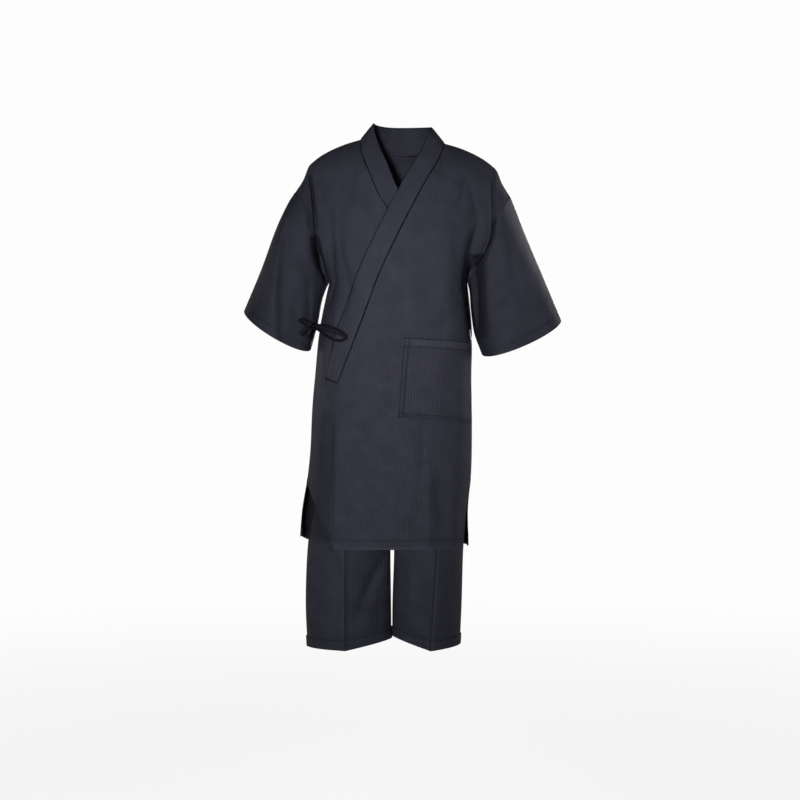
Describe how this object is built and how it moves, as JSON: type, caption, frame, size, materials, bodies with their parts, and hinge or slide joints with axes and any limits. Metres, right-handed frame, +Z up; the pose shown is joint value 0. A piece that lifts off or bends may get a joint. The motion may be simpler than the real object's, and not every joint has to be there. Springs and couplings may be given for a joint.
{
  "type": "jinbei set",
  "caption": "Jinbei set in near-black ripple cotton: a long wrap-over top tied at the side, with a patch pocket and wide sleeves, over knee-length trousers.",
  "frame": {"origin": "midway between the two points where the neck meets the shoulders, where the wearer's shoulders hold the set up", "axes": "+Z up, +X towards the wearer's left, so that the front faces -Y"},
  "size_m": [0.7204, 0.2592, 1.1849],
  "materials": {
    "cloth": "matte ripple-woven cotton",
    "band_cloth": "matte ripple-woven cotton, folded double",
    "tie_cloth": "matte plain cotton"
  },
  "bodies": {
    "root": {"back": "cloth", "collar": "band_cloth", "front_left": "cloth", "front_right": "cloth", "leg_left": "cloth", "leg_right": "cloth", "pocket": "cloth", "sleeve_left": "cloth", "sleeve_right": "cloth", "tie_end_lower": "tie_cloth", "tie_end_upper": "tie_cloth", "tie_front": "tie_cloth", "tie_knot": "tie_cloth", "tie_loop_lower": "tie_cloth", "tie_loop_upper": "tie_cloth", "tie_side": "tie_cloth", "waistband": "band_cloth"}
  },
  "joints": []
}
